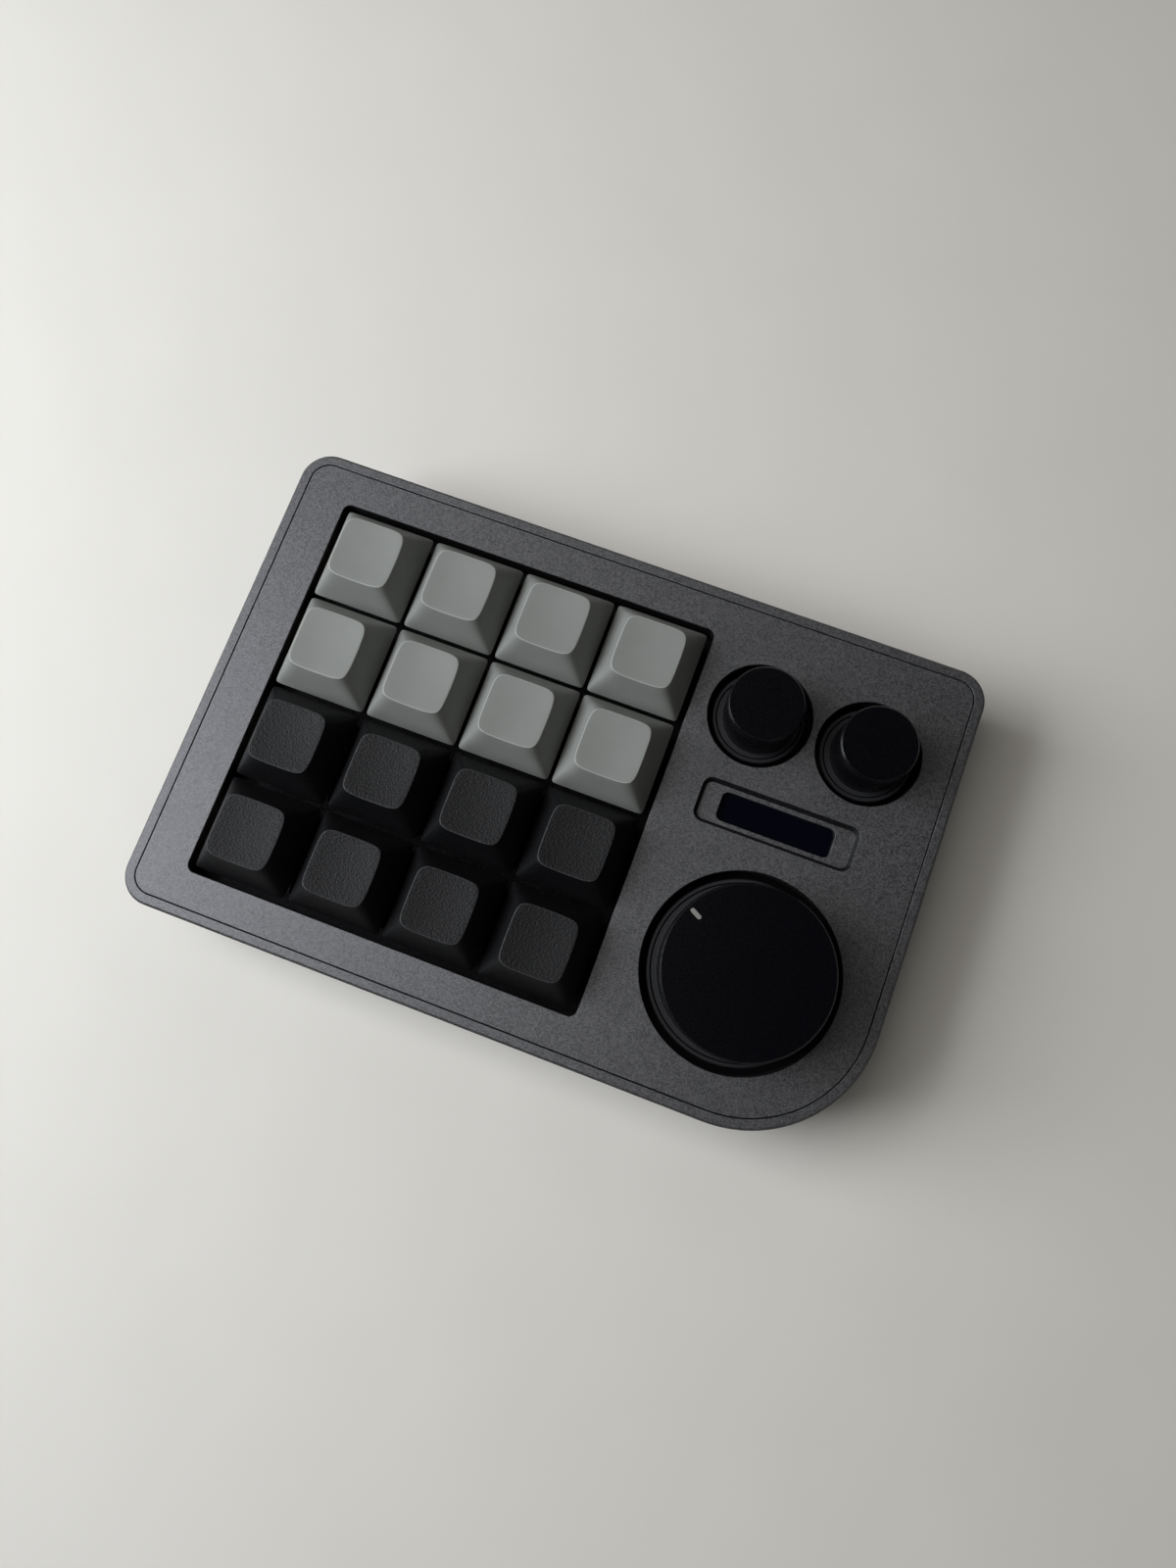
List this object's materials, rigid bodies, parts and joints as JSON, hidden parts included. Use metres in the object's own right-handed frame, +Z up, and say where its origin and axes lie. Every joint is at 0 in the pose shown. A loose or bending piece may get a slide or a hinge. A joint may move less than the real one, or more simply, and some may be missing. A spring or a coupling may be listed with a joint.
{
  "type": "macro keypad",
  "caption": "Desk macro keypad: a block of sculpted keys, two small knobs and a large marked dial beside a slim display, in a flat metal case with one wide rounded corner.",
  "frame": {"origin": "on the desk under the middle of the case, at the lower faces of the feet", "axes": "+X to the right along the long side, +Y to the back where the port is, +Z up out of the keys"},
  "size_m": [0.1416, 0.0956, 0.0323],
  "materials": {
    "case_metal": "fine bead-blasted grey anodised aluminium",
    "cap_grey": "matte moulded plastic, light grey",
    "cap_black": "matte moulded plastic, black",
    "stem_plastic": "smooth moulded plastic",
    "switch_plastic": "black moulded plastic",
    "switch_clear": "clear polycarbonate",
    "spring_steel": "drawn wire",
    "led_white": "white package with a clear lens",
    "plate_black": "black anodised",
    "board_black": "black solder mask on glass fibre",
    "display_glass": "black display glass, unlit",
    "port_steel": "plated steel",
    "encoder_steel": "zinc-plated steel",
    "shaft_aluminium": "turned",
    "knob_black": "matte black anodised aluminium",
    "mark_white": "light inlay",
    "screw_steel": "blackened steel",
    "foot_rubber": "soft black rubber"
  },
  "bodies": {
    "case": {"bottom_plate": "case_metal", "case_frame": "case_metal", "case_screws": "screw_steel", "controller_chip": "switch_plastic", "display_board": "board_black", "display_glass": "display_glass", "encoder_bodies": "encoder_steel", "key_leds": "led_white", "main_board": "board_black", "rubber_feet": "foot_rubber", "switch_bases": "switch_plastic", "switch_plate": "plate_black", "switch_sockets": "switch_plastic", "switch_springs": "spring_steel", "switch_tops": "switch_clear", "top_plate": "case_metal", "usb_c_shell": "port_steel", "usb_c_tongue": "switch_plastic"},
    "key_r1_c1": {"keycap_r1_c1": "cap_grey", "switch_stem_r1_c1": "stem_plastic"},
    "key_r1_c2": {"keycap_r1_c2": "cap_grey", "switch_stem_r1_c2": "stem_plastic"},
    "key_r1_c3": {"keycap_r1_c3": "cap_grey", "switch_stem_r1_c3": "stem_plastic"},
    "key_r1_c4": {"keycap_r1_c4": "cap_grey", "switch_stem_r1_c4": "stem_plastic"},
    "key_r2_c1": {"keycap_r2_c1": "cap_grey", "switch_stem_r2_c1": "stem_plastic"},
    "key_r2_c2": {"keycap_r2_c2": "cap_grey", "switch_stem_r2_c2": "stem_plastic"},
    "key_r2_c3": {"keycap_r2_c3": "cap_grey", "switch_stem_r2_c3": "stem_plastic"},
    "key_r2_c4": {"keycap_r2_c4": "cap_grey", "switch_stem_r2_c4": "stem_plastic"},
    "key_r3_c1": {"keycap_r3_c1": "cap_black", "switch_stem_r3_c1": "stem_plastic"},
    "key_r3_c2": {"keycap_r3_c2": "cap_black", "switch_stem_r3_c2": "stem_plastic"},
    "key_r3_c3": {"keycap_r3_c3": "cap_black", "switch_stem_r3_c3": "stem_plastic"},
    "key_r3_c4": {"keycap_r3_c4": "cap_black", "switch_stem_r3_c4": "stem_plastic"},
    "key_r4_c1": {"keycap_r4_c1": "cap_black", "switch_stem_r4_c1": "stem_plastic"},
    "key_r4_c2": {"keycap_r4_c2": "cap_black", "switch_stem_r4_c2": "stem_plastic"},
    "key_r4_c3": {"keycap_r4_c3": "cap_black", "switch_stem_r4_c3": "stem_plastic"},
    "key_r4_c4": {"keycap_r4_c4": "cap_black", "switch_stem_r4_c4": "stem_plastic"},
    "rotor_left": {"encoder_rotor_left": "switch_plastic"},
    "dial_left": {"encoder_shaft_left": "shaft_aluminium", "knob_left": "knob_black"},
    "rotor_right": {"encoder_rotor_right": "switch_plastic"},
    "dial_right": {"encoder_shaft_right": "shaft_aluminium", "knob_right": "knob_black"},
    "rotor_large": {"encoder_rotor_large": "switch_plastic"},
    "dial_large": {"encoder_shaft_large": "shaft_aluminium", "knob_large": "knob_black", "knob_mark": "mark_white"}
  },
  "joints": [
    {"name": "key_r1_c1_press", "type": "slide", "parent": "case", "child": "key_r1_c1", "axis": [0, 0, 1], "range_m": [-0.004, 0], "stiffness_N_per_m": 75, "springref_m": 0.004, "deforming": ["switch_springs"]},
    {"name": "key_r1_c2_press", "type": "slide", "parent": "case", "child": "key_r1_c2", "axis": [0, 0, 1], "range_m": [-0.004, 0], "stiffness_N_per_m": 75, "springref_m": 0.004, "deforming": ["switch_springs"]},
    {"name": "key_r1_c3_press", "type": "slide", "parent": "case", "child": "key_r1_c3", "axis": [0, 0, 1], "range_m": [-0.004, 0], "stiffness_N_per_m": 75, "springref_m": 0.004, "deforming": ["switch_springs"]},
    {"name": "key_r1_c4_press", "type": "slide", "parent": "case", "child": "key_r1_c4", "axis": [0, 0, 1], "range_m": [-0.004, 0], "stiffness_N_per_m": 75, "springref_m": 0.004, "deforming": ["switch_springs"]},
    {"name": "key_r2_c1_press", "type": "slide", "parent": "case", "child": "key_r2_c1", "axis": [0, 0, 1], "range_m": [-0.004, 0], "stiffness_N_per_m": 75, "springref_m": 0.004, "deforming": ["switch_springs"]},
    {"name": "key_r2_c2_press", "type": "slide", "parent": "case", "child": "key_r2_c2", "axis": [0, 0, 1], "range_m": [-0.004, 0], "stiffness_N_per_m": 75, "springref_m": 0.004, "deforming": ["switch_springs"]},
    {"name": "key_r2_c3_press", "type": "slide", "parent": "case", "child": "key_r2_c3", "axis": [0, 0, 1], "range_m": [-0.004, 0], "stiffness_N_per_m": 75, "springref_m": 0.004, "deforming": ["switch_springs"]},
    {"name": "key_r2_c4_press", "type": "slide", "parent": "case", "child": "key_r2_c4", "axis": [0, 0, 1], "range_m": [-0.004, 0], "stiffness_N_per_m": 75, "springref_m": 0.004, "deforming": ["switch_springs"]},
    {"name": "key_r3_c1_press", "type": "slide", "parent": "case", "child": "key_r3_c1", "axis": [0, 0, 1], "range_m": [-0.004, 0], "stiffness_N_per_m": 75, "springref_m": 0.004, "deforming": ["switch_springs"]},
    {"name": "key_r3_c2_press", "type": "slide", "parent": "case", "child": "key_r3_c2", "axis": [0, 0, 1], "range_m": [-0.004, 0], "stiffness_N_per_m": 75, "springref_m": 0.004, "deforming": ["switch_springs"]},
    {"name": "key_r3_c3_press", "type": "slide", "parent": "case", "child": "key_r3_c3", "axis": [0, 0, 1], "range_m": [-0.004, 0], "stiffness_N_per_m": 75, "springref_m": 0.004, "deforming": ["switch_springs"]},
    {"name": "key_r3_c4_press", "type": "slide", "parent": "case", "child": "key_r3_c4", "axis": [0, 0, 1], "range_m": [-0.004, 0], "stiffness_N_per_m": 75, "springref_m": 0.004, "deforming": ["switch_springs"]},
    {"name": "key_r4_c1_press", "type": "slide", "parent": "case", "child": "key_r4_c1", "axis": [0, 0, 1], "range_m": [-0.004, 0], "stiffness_N_per_m": 75, "springref_m": 0.004, "deforming": ["switch_springs"]},
    {"name": "key_r4_c2_press", "type": "slide", "parent": "case", "child": "key_r4_c2", "axis": [0, 0, 1], "range_m": [-0.004, 0], "stiffness_N_per_m": 75, "springref_m": 0.004, "deforming": ["switch_springs"]},
    {"name": "key_r4_c3_press", "type": "slide", "parent": "case", "child": "key_r4_c3", "axis": [0, 0, 1], "range_m": [-0.004, 0], "stiffness_N_per_m": 75, "springref_m": 0.004, "deforming": ["switch_springs"]},
    {"name": "key_r4_c4_press", "type": "slide", "parent": "case", "child": "key_r4_c4", "axis": [0, 0, 1], "range_m": [-0.004, 0], "stiffness_N_per_m": 75, "springref_m": 0.004, "deforming": ["switch_springs"]},
    {"name": "knob_left_turn", "type": "hinge", "parent": "case", "child": "rotor_left", "pos_m": [0.03146, 0.02609, 0.0206], "axis": [0, 0, 1], "continuous": true},
    {"name": "knob_left_push", "type": "slide", "parent": "rotor_left", "child": "dial_left", "axis": [0, 0, 1], "range_m": [-0.0005, 0], "stiffness_N_per_m": 3000, "springref_m": 0.0006},
    {"name": "knob_right_turn", "type": "hinge", "parent": "case", "child": "rotor_right", "pos_m": [0.05294, 0.02609, 0.0206], "axis": [0, 0, 1], "continuous": true},
    {"name": "knob_right_push", "type": "slide", "parent": "rotor_right", "child": "dial_right", "axis": [0, 0, 1], "range_m": [-0.0005, 0], "stiffness_N_per_m": 3000, "springref_m": 0.0006},
    {"name": "knob_large_turn", "type": "hinge", "parent": "case", "child": "rotor_large", "pos_m": [0.0436, -0.02063, 0.0206], "axis": [0, 0, 1], "continuous": true},
    {"name": "knob_large_push", "type": "slide", "parent": "rotor_large", "child": "dial_large", "axis": [0, 0, 1], "range_m": [-0.0005, 0], "stiffness_N_per_m": 3000, "springref_m": 0.0006}
  ]
}
